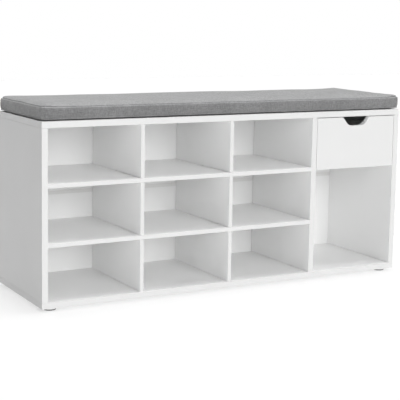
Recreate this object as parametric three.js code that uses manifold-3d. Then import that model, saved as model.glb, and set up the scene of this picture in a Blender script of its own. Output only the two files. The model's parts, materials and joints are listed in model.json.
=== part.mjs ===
// Entryway shoe bench: a 3 x 3 grid of cubbies, a drawer over an open compartment, and a seat cushion.
// Millimetres, +Z up, +X along the length, the open front towards -Y.
// The origin is on the floor under the middle of the bench.

import * as THREE from 'three';
import { mergeVertices } from 'three/addons/utils/BufferGeometryUtils.js';
import Module from 'manifold-3d';

const wasm = await Module();
wasm.setup();

// ---------------------------------------------------------------- driving dimensions

// Boards
const LENGTH = 1040;
const DEPTH = 300;
const BOARD = 15;                 // top, bottom, sides and main divider
const THIN_BOARD = 10;            // shelves and cubby dividers
const CELL_WIDTH = 240;
const CELL_HEIGHT = 131;
const CELL_COLUMNS = 3;
const CELL_ROWS = 3;
const GAP = 0.3;                  // left between two pieces that meet

// Half-lap slots where the shelves cross the cubby dividers
const LAP_PLAY = 1.2;             // slot width beyond the board's thickness
const LAP_END_GAP = 0.6;          // between the ends of the two slots

// Back panels and the strip that joins them
const BACK_THICKNESS = 3;
const BACK_REAR_INSET = 8.6;      // from the carcass's rear edges to the back panels' rear face
const GROOVE_DEPTH = 6;
const GROOVE_PLAY = 0.6;          // groove width beyond the back panels' thickness
const STRIP_HEIGHT = 10;
const STRIP_WALL = 0.8;
const STRIP_WEB = 1.2;

// Feet
const FOOT_RADIUS = 16;
const FOOT_HEIGHT = 8;
const FOOT_INSET_X = 29;
const FOOT_INSET_Y = 27;
const FOOT_EDGE = 1.5;            // chamfer round the underside
const FOOT_RECESS_RADIUS = 5.5;
const FOOT_RECESS_DEPTH = 3.5;

// Drawer
const DRAWER_FRONT_HEIGHT = 137;
const DRAWER_TOP_GAP = 2;
const DRAWER_SIDE_GAP = 1.5;
const DRAWER_WALL = 12;
const DRAWER_SIDE_HEIGHT = 100;
const DRAWER_SIDE_RISE = 12;      // drawer sides start this far above the front's lower edge
const DRAWER_BOX_DEPTH = 250;
const DRAWER_BOTTOM_THICKNESS = 3;
const DRAWER_BOTTOM_RISE = 12;    // groove for the bottom, above the drawer sides' lower edge
const DRAWER_GROOVE_DEPTH = 5;
const DRAWER_GROOVE_PLAY = 0.4;
const DRAWER_TRAVEL = 195;

// Finger notch in the drawer front's upper edge
const NOTCH_TOP_WIDTH = 87;
const NOTCH_BOTTOM_WIDTH = 50;
const NOTCH_DEPTH = 23;
const NOTCH_FILLET = 12;          // tangent length of the rounded lower corners

// Drawer runners
const RUNNER_SPACE = 12.5;        // between the cabinet wall and the drawer side
const RUNNER_LENGTH = 250;
const RUNNER_STEEL = 1;
const RUNNER_CHANNEL = 18;        // clear height inside the cabinet member
const RUNNER_CHANNEL_WIDTH = 10;
const RUNNER_FRONT_SETBACK = 2;   // cabinet member behind the closed drawer front
const RUNNER_ENTRY = 32;          // length of the cabinet member's open top at its front
const RUNNER_END = 12;            // roller axes from the members' ends
const RUNNER_STOP_HEIGHT = 3;
const RUNNER_STOP_LENGTH = 2;
const RUNNER_SCREW_FRONT = 50;
const RUNNER_SCREW_REAR = 210;
const CABINET_ROLLER_RADIUS = 7;
const DRAWER_ROLLER_RADIUS = 8.5;
const ROLLER_CLEARANCE = 0.2;
const ROLLER_WIDTH = 6;
const ROLLER_OFF_WALL = 1.2;      // cabinet roller from the channel's web
const ROLLER_OFF_LIP = 0.1;       // drawer roller from the edge of the flange that it runs on
const FLANGE_OFF_WALL = 1.7;      // drawer member's flange from the channel's web
const CHANNEL_DROP = 3.1;         // channel floor below the drawer member's underside
const PIN_RADIUS = 2;
const PIN_HEAD_RADIUS = 3.5;
const BORE_CLEARANCE = 0.08;

// Fasteners
const CONNECTOR_LENGTH = 50;
const CONNECTOR_INSET = 37;       // from the carcass's front and rear edges
const HOLE_CLEARANCE = 0.3;

// Cushion and its fastening strips
const CUSHION_OVERHANG = 5;       // past each end of the top panel
const CUSHION_THICKNESS = 35;
const CUSHION_CORNER = 14;
const CUSHION_EDGE = 8;
const STRIP_SPACE = 2;            // between the top panel and the cushion
const HOOK_STRIP = { width: 25, length: 220, thickness: 1.4, x: 400 };

// ---------------------------------------------------------------- derived positions

const LEFT = -LENGTH / 2;
const RIGHT = LENGTH / 2;
const FRONT = -DEPTH / 2;
const REAR = DEPTH / 2;
const CARCASS_BOTTOM = FOOT_HEIGHT;
const FLOOR_TOP = CARCASS_BOTTOM + BOARD;
const CLEAR_HEIGHT = CELL_ROWS * CELL_HEIGHT + (CELL_ROWS - 1) * THIN_BOARD;
const CEILING = FLOOR_TOP + CLEAR_HEIGHT;
const CARCASS_TOP = CEILING + BOARD;
const GRID_LEFT = LEFT + BOARD;
const GRID_WIDTH = CELL_COLUMNS * CELL_WIDTH + (CELL_COLUMNS - 1) * THIN_BOARD;
const GRID_RIGHT = GRID_LEFT + GRID_WIDTH;
const BAY_LEFT = GRID_RIGHT + BOARD;
const BAY_RIGHT = RIGHT - BOARD;
const BAY_CENTRE = (BAY_LEFT + BAY_RIGHT) / 2;

const BACK_REAR = REAR - BACK_REAR_INSET;
const BACK_FRONT = BACK_REAR - BACK_THICKNESS;
const GROOVE_FRONT = BACK_FRONT - GROOVE_PLAY / 2;
const GROOVE_REAR = BACK_REAR + GROOVE_PLAY / 2;
const SHELF_REAR = BACK_FRONT - GAP;
const DIVIDER_REAR = SHELF_REAR - STRIP_WALL - GAP;
const LAP_MIDDLE = (FRONT + DIVIDER_REAR) / 2;
const SEAM_Z = CARCASS_BOTTOM + (CARCASS_TOP - CARCASS_BOTTOM) / 2 + STRIP_HEIGHT / 2;

const DRAWER_FRONT_TOP = CEILING - DRAWER_TOP_GAP;
const DRAWER_FRONT_BOTTOM = DRAWER_FRONT_TOP - DRAWER_FRONT_HEIGHT;
const DRAWER_FRONT_REAR = FRONT + BOARD;
const DRAWER_BOX_FRONT = DRAWER_FRONT_REAR + GAP;
const DRAWER_BOX_REAR = DRAWER_BOX_FRONT + DRAWER_BOX_DEPTH;
const DRAWER_SIDE_BOTTOM = DRAWER_FRONT_BOTTOM + DRAWER_SIDE_RISE;
const DRAWER_SIDE_TOP = DRAWER_SIDE_BOTTOM + DRAWER_SIDE_HEIGHT;
const DRAWER_GROOVE_BOTTOM = DRAWER_SIDE_BOTTOM + DRAWER_BOTTOM_RISE;
const DRAWER_GROOVE_TOP = DRAWER_GROOVE_BOTTOM + DRAWER_BOTTOM_THICKNESS + DRAWER_GROOVE_PLAY;
const DRAWER_HALF_INSIDE = (BAY_RIGHT - BAY_LEFT) / 2 - RUNNER_SPACE - DRAWER_WALL;

const RUNNER_FRONT = DRAWER_FRONT_REAR + RUNNER_FRONT_SETBACK;
const RUNNER_REAR = RUNNER_FRONT + RUNNER_LENGTH;
const DRAWER_MEMBER_BOTTOM = DRAWER_SIDE_BOTTOM - GAP - RUNNER_STEEL;
const CABINET_ROLLER_Y = RUNNER_FRONT + RUNNER_END;
const DRAWER_ROLLER_Y = DRAWER_BOX_REAR - RUNNER_END;
const CHANNEL_BOTTOM = DRAWER_MEMBER_BOTTOM - CHANNEL_DROP;
const CHANNEL_TOP = CHANNEL_BOTTOM + RUNNER_CHANNEL;
const CABINET_ROLLER_Z = CHANNEL_BOTTOM + ROLLER_CLEARANCE + CABINET_ROLLER_RADIUS;
const DRAWER_ROLLER_Z = CHANNEL_BOTTOM + ROLLER_CLEARANCE + DRAWER_ROLLER_RADIUS;
const DRAWER_FLANGE_BOTTOM = CABINET_ROLLER_Z + CABINET_ROLLER_RADIUS + ROLLER_CLEARANCE;
const RUNNER_SCREW_Z = (CHANNEL_BOTTOM + CHANNEL_TOP) / 2;

// Distances from the cabinet wall towards the drawer, across the runner space
const CABINET_WEB = GAP;
const CHANNEL_WALL = CABINET_WEB + RUNNER_STEEL;
const CHANNEL_LIP = CABINET_WEB + RUNNER_CHANNEL_WIDTH;
const DRAWER_WEB = RUNNER_SPACE - GAP - RUNNER_STEEL;
const CABINET_ROLLER_U = CHANNEL_WALL + ROLLER_OFF_WALL;
const DRAWER_ROLLER_U = CHANNEL_LIP - ROLLER_OFF_LIP - ROLLER_WIDTH;

// ---------------------------------------------------------------- materials

function finish(color, roughness, metalness = 0) {
  return new THREE.MeshStandardMaterial({ color, roughness, metalness });
}

const melamine = () => finish(0xf4f4f2, 0.42);
const hardboard = () => finish(0xeeeeec, 0.55);
const drawerBoard = () => finish(0xefefed, 0.5);
const coatedSteel = () => finish(0xe9e9e6, 0.4, 0.2);
const zincSteel = () => finish(0xb8bbc0, 0.35, 0.9);
const whitePlastic = () => finish(0xf0f0ee, 0.5);
const nylon = () => finish(0xf3f3ee, 0.35);
const linen = () => finish(0x96979a, 0.95);
const hookTape = () => finish(0xd9d9d6, 0.9);

// ---------------------------------------------------------------- solids

function toManifold(geometry) {
  const bare = geometry.clone();
  bare.deleteAttribute('normal');
  bare.deleteAttribute('uv');
  const merged = mergeVertices(bare);
  const index = merged.index.array;
  const triangles = [];
  for (let i = 0; i < index.length; i += 3) {
    const [a, b, c] = [index[i], index[i + 1], index[i + 2]];
    if (a !== b && b !== c && c !== a) triangles.push(a, b, c);
  }
  const vertProperties = merged.attributes.position.array;
  const triVerts = new Uint32Array(triangles);
  return new wasm.Manifold(new wasm.Mesh({ numProp: 3, vertProperties, triVerts }));
}

function toGeometry(manifold) {
  const mesh = manifold.getMesh();
  const geometry = new THREE.BufferGeometry();
  geometry.setAttribute('position', new THREE.BufferAttribute(mesh.vertProperties, 3));
  geometry.setIndex(new THREE.BufferAttribute(mesh.triVerts, 1));
  geometry.computeVertexNormals();
  return geometry;
}

// The first geometry with the others cut away from it, or joined to it.
function cut(base, ...tools) {
  return toGeometry(tools.reduce((solid, tool) => solid.subtract(toManifold(tool)), toManifold(base)));
}

function join(base, ...others) {
  return toGeometry(others.reduce((solid, other) => solid.add(toManifold(other)), toManifold(base)));
}

// A box between two corners.
function box(low, high) {
  const size = low.map((value, axis) => high[axis] - value);
  const geometry = new THREE.BoxGeometry(...size);
  geometry.translate(...low.map((value, axis) => value + size[axis] / 2));
  return geometry;
}

// A solid of revolution about +Z from [radius, z] points, listed from its lower end to its upper end.
function turned(points, segments) {
  const profile = points.map(([radius, z]) => new THREE.Vector2(radius, z));
  const geometry = new THREE.LatheGeometry(profile, segments);
  geometry.rotateX(Math.PI / 2);
  return geometry;
}

// A closed [x, z] outline extruded from yStart to yEnd.
function profileAlongY(outline, yStart, yEnd) {
  const shape = outline instanceof THREE.Shape
    ? outline
    : new THREE.Shape(outline.map(([x, z]) => new THREE.Vector2(x, z)));
  const geometry = new THREE.ExtrudeGeometry(shape, { depth: yEnd - yStart, bevelEnabled: false });
  geometry.rotateX(Math.PI / 2);
  geometry.translate(0, yEnd, 0);
  return geometry;
}

// A named mesh at the middle of its own box, from geometry in its group's frame.
function piece(name, geometry, material) {
  geometry.computeBoundingBox();
  const centre = geometry.boundingBox.getCenter(new THREE.Vector3());
  geometry.translate(-centre.x, -centre.y, -centre.z);
  const mesh = new THREE.Mesh(geometry, material);
  mesh.name = name;
  mesh.position.copy(centre);
  return mesh;
}

// ---------------------------------------------------------------- fasteners

const SCREW_SEGMENTS = 10;
const WOOD_SCREW_RADIUS = 1.75;

// The cylinder that a drill clears along +Z.
function drillHole(radius, low, high) {
  return turned([[0, low], [radius, low], [radius, high], [0, high]], SCREW_SEGMENTS);
}

// Connecting screw with its head's top at z = 0 and its tip below, grown by a clearance when it cuts a hole.
function connectorScrew(clearance = 0) {
  const rise = clearance > 0 ? 1 : 0;
  return turned([
    [0, -CONNECTOR_LENGTH - clearance],
    [2 + clearance, -CONNECTOR_LENGTH - clearance],
    [3 + clearance, -CONNECTOR_LENGTH + 3],
    [3 + clearance, -BOARD],
    [3.5 + clearance, -BOARD],
    [3.5 + clearance, -3],
    [5 + clearance, -1],
    [5 + clearance, rise],
    [0, rise],
  ], SCREW_SEGMENTS);
}

function hexSocket(acrossFlats, depth) {
  const radius = acrossFlats / Math.sqrt(3);
  const geometry = new THREE.CylinderGeometry(radius, radius, 2 * depth, 6);
  geometry.rotateX(Math.PI / 2);
  return geometry;
}

// Flat-headed wood screw with its shank along +Z from the underside of its head at z = 0.
function woodScrew(length, clearance = 0) {
  if (clearance > 0) return drillHole(WOOD_SCREW_RADIUS + clearance, -1, length + clearance);
  const body = turned([
    [0, -1.1],
    [2.6, -1.1],
    [3.5, -0.7],
    [3.5, 0],
    [WOOD_SCREW_RADIUS, 0],
    [WOOD_SCREW_RADIUS, length - 2.5],
    [0.4, length],
    [0, length],
  ], SCREW_SEGMENTS);
  const slotA = box([-2, -0.4, -2], [2, 0.4, -0.5]);
  const slotB = box([-0.4, -2, -2], [0.4, 2, -0.5]);
  return cut(body, slotA, slotB);
}

// Places of the connecting screws: two through each 15 mm upright, at the top and at the bottom.
const UPRIGHTS = [
  { name: 'left', x: LEFT + BOARD / 2 },
  { name: 'middle', x: GRID_RIGHT + BOARD / 2 },
  { name: 'right', x: RIGHT - BOARD / 2 },
];
const CONNECTOR_ROWS = [
  { name: 'front', y: FRONT + CONNECTOR_INSET },
  { name: 'rear', y: REAR - CONNECTOR_INSET },
];
const HEAD_SINK = 0.2;

// Turns a connecting screw downwards from the top panel or upwards from the bottom panel.
function connectorAt(geometry, x, y, fromTop) {
  if (!fromTop) geometry.rotateX(Math.PI);
  geometry.translate(x, y, fromTop ? CARCASS_TOP - HEAD_SINK : CARCASS_BOTTOM + HEAD_SINK);
  return geometry;
}

function connectorHoles(uprights, fromTop) {
  return uprights.flatMap(({ x }) => CONNECTOR_ROWS.map(({ y }) =>
    connectorAt(connectorScrew(HOLE_CLEARANCE), x, y, fromTop)));
}

function connectors() {
  const group = new THREE.Group();
  for (const fromTop of [true, false]) {
    for (const upright of UPRIGHTS) {
      for (const row of CONNECTOR_ROWS) {
        const level = fromTop ? 'top' : 'bottom';
        const screw = cut(connectorScrew(), hexSocket(4, 3));
        const name = `connector_screw_${level}_${upright.name}_${row.name}`;
        group.add(piece(name, connectorAt(screw, upright.x, row.y, fromTop), zincSteel()));
      }
    }
  }
  return group;
}

// ---------------------------------------------------------------- feet

const FOOT_PLACES = [
  { name: 'front_left', x: LEFT + FOOT_INSET_X, y: FRONT + FOOT_INSET_Y },
  { name: 'front_right', x: RIGHT - FOOT_INSET_X, y: FRONT + FOOT_INSET_Y },
  { name: 'rear_left', x: LEFT + FOOT_INSET_X, y: REAR - FOOT_INSET_Y },
  { name: 'rear_right', x: RIGHT - FOOT_INSET_X, y: REAR - FOOT_INSET_Y },
];
const FOOT_SEGMENTS = 28;
const FOOT_SCREW_LENGTH = 14;
const FOOT_SCREW_Z = FOOT_RECESS_DEPTH - GAP;

function footSolid() {
  const shank = 2.3;
  const top = FOOT_HEIGHT - GAP;
  const outline = [
    [shank, FOOT_RECESS_DEPTH],
    [FOOT_RECESS_RADIUS, FOOT_RECESS_DEPTH],
    [FOOT_RECESS_RADIUS, 0],
    [FOOT_RADIUS - FOOT_EDGE, 0],
    [FOOT_RADIUS, FOOT_EDGE],
    [FOOT_RADIUS, top],
    [shank, top],
    [shank, FOOT_RECESS_DEPTH],
  ];
  return turned(outline, FOOT_SEGMENTS);
}

function feet() {
  const group = new THREE.Group();
  for (const { name, x, y } of FOOT_PLACES) {
    group.add(piece(`foot_${name}`, footSolid().translate(x, y, 0), whitePlastic()));
    const screw = woodScrew(FOOT_SCREW_LENGTH).translate(x, y, FOOT_SCREW_Z);
    group.add(piece(`foot_screw_${name}`, screw, zincSteel()));
  }
  return group;
}

// ---------------------------------------------------------------- runner fasteners and pins

// The two sides of the drawer bay: the cabinet wall's place, and the way from it towards the drawer.
const BAY_SIDES = [
  { name: 'left', wall: BAY_LEFT, inward: 1 },
  { name: 'right', wall: BAY_RIGHT, inward: -1 },
];
const RUNNER_SCREW_YS = [RUNNER_FRONT + RUNNER_SCREW_FRONT, RUNNER_FRONT + RUNNER_SCREW_REAR];
const RUNNER_SCREW_LENGTH = 12;
const SCREW_SEAT_GAP = 0.2;
const DRAWER_SCREW_LENGTH = 10;

// A screw or its hole through the cabinet member into the wall, pointing away from the drawer.
function cabinetScrewAt(geometry, side, y) {
  geometry.rotateY(-side.inward * Math.PI / 2);
  geometry.translate(side.wall + side.inward * (CHANNEL_WALL + SCREW_SEAT_GAP), y, RUNNER_SCREW_Z);
  return geometry;
}

// A screw or its hole from below through the drawer member into the drawer side.
function drawerScrewAt(geometry, side, y) {
  const x = side.wall + side.inward * (RUNNER_SPACE + DRAWER_WALL / 2);
  geometry.translate(x, y, DRAWER_MEMBER_BOTTOM - SCREW_SEAT_GAP);
  return geometry;
}

const cabinetScrewHoles = (side) => RUNNER_SCREW_YS.map((y) =>
  cabinetScrewAt(woodScrew(RUNNER_SCREW_LENGTH, HOLE_CLEARANCE), side, y));
const drawerScrewHoles = (side) => RUNNER_SCREW_YS.map((y) =>
  drawerScrewAt(woodScrew(DRAWER_SCREW_LENGTH, HOLE_CLEARANCE), side, y));

// A turned solid laid across the runner space, its z = 0 at a distance from the cabinet wall.
function acrossRunner(geometry, side, distance, y, z) {
  geometry.rotateY(side.inward * Math.PI / 2);
  geometry.translate(side.wall + side.inward * distance, y, z);
  return geometry;
}

function pinHole(side, distance, y, z) {
  const hole = drillHole(PIN_RADIUS + HOLE_CLEARANCE, -1, RUNNER_STEEL + 1);
  return acrossRunner(hole, side, distance, y, z);
}

// ---------------------------------------------------------------- carcass boards

const LOW = FLOOR_TOP + GAP;
const HIGH = CEILING - GAP;

function grooveAlongX(low, high) {
  return box([LEFT - 1, GROOVE_FRONT, low], [RIGHT + 1, GROOVE_REAR, high]);
}

function topPanel() {
  const board = box([LEFT, FRONT, CEILING], [RIGHT, REAR, CARCASS_TOP]);
  return cut(board, grooveAlongX(CEILING - 1, CEILING + GROOVE_DEPTH), ...connectorHoles(UPRIGHTS, true));
}

function bottomPanel() {
  const board = box([LEFT, FRONT, CARCASS_BOTTOM], [RIGHT, REAR, FLOOR_TOP]);
  const footHoles = FOOT_PLACES.map(({ x, y }) =>
    woodScrew(FOOT_SCREW_LENGTH, HOLE_CLEARANCE).translate(x, y, FOOT_SCREW_Z));
  const groove = grooveAlongX(FLOOR_TOP - GROOVE_DEPTH, FLOOR_TOP + 1);
  return cut(board, groove, ...footHoles, ...connectorHoles(UPRIGHTS, false));
}

// Connecting-screw holes in the ends of one upright.
function uprightHoles(upright) {
  return [...connectorHoles([upright], true), ...connectorHoles([upright], false)];
}

function leftSidePanel() {
  const board = box([LEFT, FRONT, LOW], [LEFT + BOARD, REAR, HIGH]);
  const inner = LEFT + BOARD;
  const groove = box([inner - GROOVE_DEPTH, GROOVE_FRONT, LOW - 1], [inner + 1, GROOVE_REAR, HIGH + 1]);
  return cut(board, groove, ...uprightHoles(UPRIGHTS[0]));
}

function rightSidePanel() {
  const board = box([RIGHT - BOARD, FRONT, LOW], [RIGHT, REAR, HIGH]);
  const inner = RIGHT - BOARD;
  const groove = box([inner - 1, GROOVE_FRONT, LOW - 1], [inner + GROOVE_DEPTH, GROOVE_REAR, HIGH + 1]);
  return cut(board, groove, ...uprightHoles(UPRIGHTS[2]), ...cabinetScrewHoles(BAY_SIDES[1]));
}

function mainDivider() {
  const board = box([GRID_RIGHT, FRONT, LOW], [BAY_LEFT, DIVIDER_REAR, HIGH]);
  return cut(board, ...uprightHoles(UPRIGHTS[1]), ...cabinetScrewHoles(BAY_SIDES[0]));
}

const dividerX = (column) => GRID_LEFT + column * CELL_WIDTH + (column - 1) * THIN_BOARD;
const shelfZ = (row) => FLOOR_TOP + row * CELL_HEIGHT + (row - 1) * THIN_BOARD;

// Slotted from the front to the middle of its depth, where the shelves pass through it.
function cubbyDivider(column) {
  const x = dividerX(column);
  const board = box([x, FRONT, LOW], [x + THIN_BOARD, DIVIDER_REAR, HIGH]);
  const slots = [1, 2].map((row) => box(
    [x - 1, FRONT - 1, shelfZ(row) - GAP],
    [x + THIN_BOARD + 1, LAP_MIDDLE, shelfZ(row) - GAP + THIN_BOARD + LAP_PLAY],
  ));
  return cut(board, ...slots);
}

// Slotted from the rear to the middle of its depth, where the cubby dividers pass through it.
function longShelf(row) {
  const z = shelfZ(row);
  const board = box([GRID_LEFT + GAP, FRONT, z], [GRID_RIGHT - GAP, SHELF_REAR, z + THIN_BOARD]);
  const slots = [1, 2].map((column) => box(
    [dividerX(column) - LAP_PLAY / 2, LAP_MIDDLE - LAP_END_GAP, z - 1],
    [dividerX(column) + THIN_BOARD + LAP_PLAY / 2, SHELF_REAR + 1, z + THIN_BOARD + 1],
  ));
  return cut(board, ...slots);
}

// ---------------------------------------------------------------- back

const BACK_SIDE = RIGHT - BOARD + GROOVE_DEPTH - GAP;

function upperBackPanel() {
  const low = SEAM_Z + STRIP_WEB / 2 + GAP;
  return box([-BACK_SIDE, BACK_FRONT, low], [BACK_SIDE, BACK_REAR, CEILING + GROOVE_DEPTH - GAP]);
}

function lowerBackPanel() {
  const high = SEAM_Z - STRIP_WEB / 2 - GAP;
  return box([-BACK_SIDE, BACK_FRONT, FLOOR_TOP - GROOVE_DEPTH + GAP], [BACK_SIDE, BACK_REAR, high]);
}

// H section: a web between the two panels' edges, and a flange over each face.
function joiningStrip() {
  const reach = RIGHT - BOARD - GAP;
  const low = SEAM_Z - STRIP_HEIGHT / 2;
  const high = SEAM_Z + STRIP_HEIGHT / 2;
  const flanges = [
    [BACK_FRONT - GAP - STRIP_WALL, BACK_FRONT - GAP],
    [BACK_REAR + GAP, BACK_REAR + GAP + STRIP_WALL],
  ].map(([yLow, yHigh]) => box([-reach, yLow, low], [reach, yHigh, high]));
  const webFront = BACK_FRONT - GAP - STRIP_WALL / 2;
  const webRear = BACK_REAR + GAP + STRIP_WALL / 2;
  const web = box([-reach, webFront, SEAM_Z - STRIP_WEB / 2], [reach, webRear, SEAM_Z + STRIP_WEB / 2]);
  return join(web, ...flanges);
}

function carcass() {
  const group = new THREE.Group();
  group.add(piece('top_panel', topPanel(), melamine()));
  group.add(piece('bottom_panel', bottomPanel(), melamine()));
  group.add(piece('left_side_panel', leftSidePanel(), melamine()));
  group.add(piece('right_side_panel', rightSidePanel(), melamine()));
  group.add(piece('main_divider', mainDivider(), melamine()));
  group.add(piece('cubby_divider_left', cubbyDivider(1), melamine()));
  group.add(piece('cubby_divider_right', cubbyDivider(2), melamine()));
  group.add(piece('lower_shelf', longShelf(1), melamine()));
  group.add(piece('upper_shelf', longShelf(2), melamine()));
  group.add(piece('back_panel_upper', upperBackPanel(), hardboard()));
  group.add(piece('back_panel_lower', lowerBackPanel(), hardboard()));
  group.add(piece('back_joining_strip', joiningStrip(), whitePlastic()));
  return group;
}

// ---------------------------------------------------------------- drawer box

// The drawer front seen from the front: a rectangle with a rounded trapezoid notch in its upper edge.
function drawerFrontShape() {
  const halfWidth = (BAY_RIGHT - BAY_LEFT) / 2 - DRAWER_SIDE_GAP;
  const halfTop = NOTCH_TOP_WIDTH / 2;
  const halfBottom = NOTCH_BOTTOM_WIDTH / 2;
  const top = DRAWER_FRONT_TOP;
  const notchBottom = top - NOTCH_DEPTH;
  const slope = Math.hypot(halfTop - halfBottom, NOTCH_DEPTH);
  const slopeX = (halfTop - halfBottom) * NOTCH_FILLET / slope;
  const slopeZ = NOTCH_DEPTH * NOTCH_FILLET / slope;
  const shape = new THREE.Shape();
  const x = (offset) => BAY_CENTRE + offset;
  shape.moveTo(x(-halfWidth), DRAWER_FRONT_BOTTOM);
  shape.lineTo(x(halfWidth), DRAWER_FRONT_BOTTOM);
  shape.lineTo(x(halfWidth), top);
  shape.lineTo(x(halfTop), top);
  shape.lineTo(x(halfBottom + slopeX), notchBottom + slopeZ);
  shape.quadraticCurveTo(x(halfBottom), notchBottom, x(halfBottom - NOTCH_FILLET), notchBottom);
  shape.lineTo(x(NOTCH_FILLET - halfBottom), notchBottom);
  shape.quadraticCurveTo(x(-halfBottom), notchBottom, x(-halfBottom - slopeX), notchBottom + slopeZ);
  shape.lineTo(x(-halfTop), top);
  shape.lineTo(x(-halfWidth), top);
  shape.closePath();
  return shape;
}

// Groove for the drawer bottom, as deep into the sides and the front as DRAWER_GROOVE_DEPTH.
function drawerGroove() {
  const half = DRAWER_HALF_INSIDE + DRAWER_GROOVE_DEPTH;
  const low = [BAY_CENTRE - half, DRAWER_FRONT_REAR - DRAWER_GROOVE_DEPTH, DRAWER_GROOVE_BOTTOM];
  return box(low, [BAY_CENTRE + half, DRAWER_BOX_REAR + 1, DRAWER_GROOVE_TOP]);
}

function drawerFront() {
  return cut(profileAlongY(drawerFrontShape(), FRONT, DRAWER_FRONT_REAR), drawerGroove());
}

function drawerSide(side) {
  const outer = side.wall + side.inward * RUNNER_SPACE;
  const inner = outer + side.inward * DRAWER_WALL;
  const board = box(
    [Math.min(outer, inner), DRAWER_BOX_FRONT, DRAWER_SIDE_BOTTOM],
    [Math.max(outer, inner), DRAWER_BOX_REAR, DRAWER_SIDE_TOP],
  );
  return cut(board, drawerGroove(), ...drawerScrewHoles(side));
}

function drawerBack() {
  const half = DRAWER_HALF_INSIDE - GAP;
  const low = [BAY_CENTRE - half, DRAWER_BOX_REAR - DRAWER_WALL, DRAWER_GROOVE_TOP + GAP];
  return box(low, [BAY_CENTRE + half, DRAWER_BOX_REAR, DRAWER_SIDE_TOP]);
}

function drawerBottom() {
  const half = DRAWER_HALF_INSIDE + DRAWER_GROOVE_DEPTH - GAP;
  const z = DRAWER_GROOVE_BOTTOM + DRAWER_GROOVE_PLAY / 2;
  const low = [BAY_CENTRE - half, DRAWER_FRONT_REAR - DRAWER_GROOVE_DEPTH + GAP, z];
  return box(low, [BAY_CENTRE + half, DRAWER_BOX_REAR, z + DRAWER_BOTTOM_THICKNESS]);
}

// ---------------------------------------------------------------- runners

// An outline given by distance from the cabinet wall, placed on one side of the bay.
const onSide = (side, outline) => outline.map(([distance, z]) => [side.wall + side.inward * distance, z]);

// A box given by distances from the cabinet wall.
function sideBox(side, [u1, y1, z1], [u2, y2, z2]) {
  const xs = [side.wall + side.inward * u1, side.wall + side.inward * u2].sort((a, b) => a - b);
  return box([xs[0], y1, z1], [xs[1], y2, z2]);
}

// C section against the cabinet wall. Its top is open at the front, where the drawer drops in.
function cabinetMember(side) {
  const channel = profileAlongY(onSide(side, [
    [CABINET_WEB, CHANNEL_BOTTOM - RUNNER_STEEL],
    [CHANNEL_LIP, CHANNEL_BOTTOM - RUNNER_STEEL],
    [CHANNEL_LIP, CHANNEL_BOTTOM],
    [CHANNEL_WALL, CHANNEL_BOTTOM],
    [CHANNEL_WALL, CHANNEL_TOP],
    [CHANNEL_LIP, CHANNEL_TOP],
    [CHANNEL_LIP, CHANNEL_TOP + RUNNER_STEEL],
    [CABINET_WEB, CHANNEL_TOP + RUNNER_STEEL],
  ]), RUNNER_FRONT, RUNNER_REAR);
  // The open drawer's rear roller rests against the stop.
  const overStop = DRAWER_ROLLER_Z - CHANNEL_BOTTOM - RUNNER_STOP_HEIGHT;
  const reach = Math.sqrt(DRAWER_ROLLER_RADIUS ** 2 - overStop ** 2);
  const stopRear = DRAWER_ROLLER_Y - DRAWER_TRAVEL - reach - GAP;
  const stop = sideBox(
    side,
    [DRAWER_ROLLER_U + 0.5, stopRear - RUNNER_STOP_LENGTH, CHANNEL_BOTTOM - RUNNER_STEEL / 2],
    [DRAWER_ROLLER_U + ROLLER_WIDTH - 0.5, stopRear, CHANNEL_BOTTOM + RUNNER_STOP_HEIGHT],
  );
  const entry = sideBox(
    side,
    [CHANNEL_WALL, RUNNER_FRONT - 1, CHANNEL_TOP - 1],
    [CHANNEL_LIP + 1, RUNNER_FRONT + RUNNER_ENTRY, CHANNEL_TOP + RUNNER_STEEL + 1],
  );
  const hole = pinHole(side, CABINET_WEB, CABINET_ROLLER_Y, CABINET_ROLLER_Z);
  return cut(join(channel, stop), entry, hole, ...cabinetScrewHoles(side));
}

// Angle under the drawer side, with a flange above that runs on the cabinet roller.
function drawerMember(side) {
  const webOuter = DRAWER_WEB;
  const webInner = DRAWER_WEB + RUNNER_STEEL;
  const flangeEdge = CHANNEL_WALL + FLANGE_OFF_WALL;
  const flangeTop = DRAWER_FLANGE_BOTTOM + RUNNER_STEEL;
  const footEdge = RUNNER_SPACE + DRAWER_WALL - 1;
  const bent = profileAlongY(onSide(side, [
    [webOuter, DRAWER_MEMBER_BOTTOM],
    [footEdge, DRAWER_MEMBER_BOTTOM],
    [footEdge, DRAWER_MEMBER_BOTTOM + RUNNER_STEEL],
    [webInner, DRAWER_MEMBER_BOTTOM + RUNNER_STEEL],
    [webInner, flangeTop],
    [flangeEdge, flangeTop],
    [flangeEdge, DRAWER_FLANGE_BOTTOM],
    [webOuter, DRAWER_FLANGE_BOTTOM],
  ]), DRAWER_BOX_FRONT, DRAWER_BOX_REAR);
  const rollerRoom = sideBox(
    side,
    [0, DRAWER_ROLLER_Y - DRAWER_ROLLER_RADIUS - 1.5, DRAWER_FLANGE_BOTTOM - 1],
    [webOuter, DRAWER_BOX_REAR + 1, flangeTop + 1],
  );
  const hole = pinHole(side, DRAWER_WEB, DRAWER_ROLLER_Y, DRAWER_ROLLER_Z);
  return cut(bent, rollerRoom, hole, ...drawerScrewHoles(side));
}

const ROLLER_SEGMENTS = 24;
const PIN_SEGMENTS = 16;

// Nylon roller from z = 0 to its width, with a bore that runs on a pin.
function rollerSolid(radius) {
  const facetGrowth = 1 / Math.cos(Math.PI / ROLLER_SEGMENTS);
  const bore = (PIN_RADIUS + BORE_CLEARANCE) * facetGrowth;
  const edge = 0.8;
  return turned([
    [bore, 0],
    [radius - edge, 0],
    [radius, edge],
    [radius, ROLLER_WIDTH - edge],
    [radius - edge, ROLLER_WIDTH],
    [bore, ROLLER_WIDTH],
    [bore, 0],
  ], ROLLER_SEGMENTS);
}

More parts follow.
